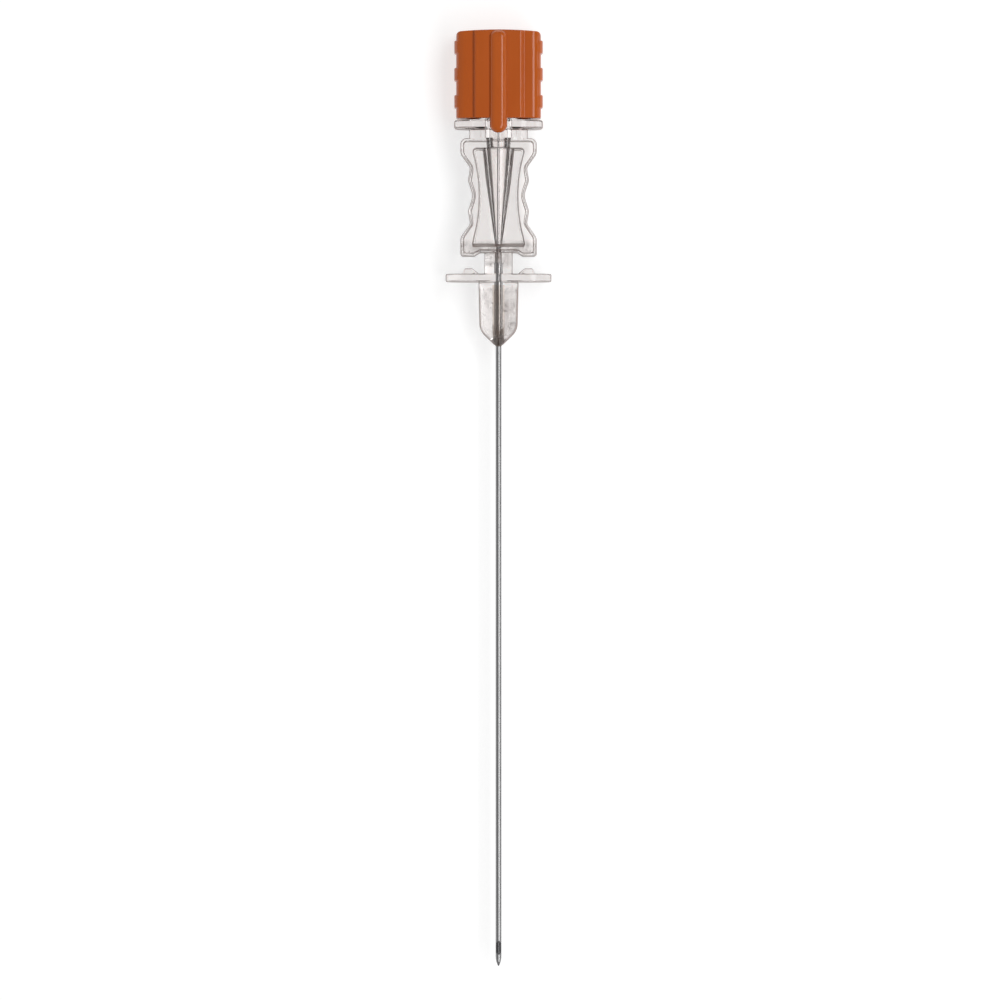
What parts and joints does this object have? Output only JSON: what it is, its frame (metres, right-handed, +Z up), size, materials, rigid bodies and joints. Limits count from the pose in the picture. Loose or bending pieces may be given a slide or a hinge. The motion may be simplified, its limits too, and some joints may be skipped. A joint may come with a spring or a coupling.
{
  "type": "spinal needle",
  "caption": "Spinal needle with its stylet seated: thin steel tube with a closed pencil point and side eye, clear winged hub, and an orange keyed stylet cap.",
  "frame": {"origin": "middle of the needle's length, under its axis, on the surface that it lies on", "axes": "+Y along the needle from the point to the stylet cap, +X across the wings, +Z up, the way the key and the side eye face"},
  "size_m": [0.015, 0.1326, 0.0098],
  "materials": {
    "needle_steel": "bright drawn stainless tube with fine lines along it",
    "clear_plastic": "clear glossy moulding",
    "bond": "cured adhesive, slightly brown",
    "wire_steel": "bright drawn stainless wire",
    "orange_plastic": "opaque orange moulding, satin gloss"
  },
  "bodies": {
    "needle": {"cannula": "needle_steel", "hub": "clear_plastic", "adhesive": "bond"},
    "stylet": {"stylet_wire": "wire_steel", "stylet_cap": "orange_plastic"}
  },
  "joints": [
    {"name": "stylet_slide", "type": "slide", "parent": "needle", "child": "stylet", "axis": [0, 1, 0], "range_m": [0, 0.13]}
  ]
}
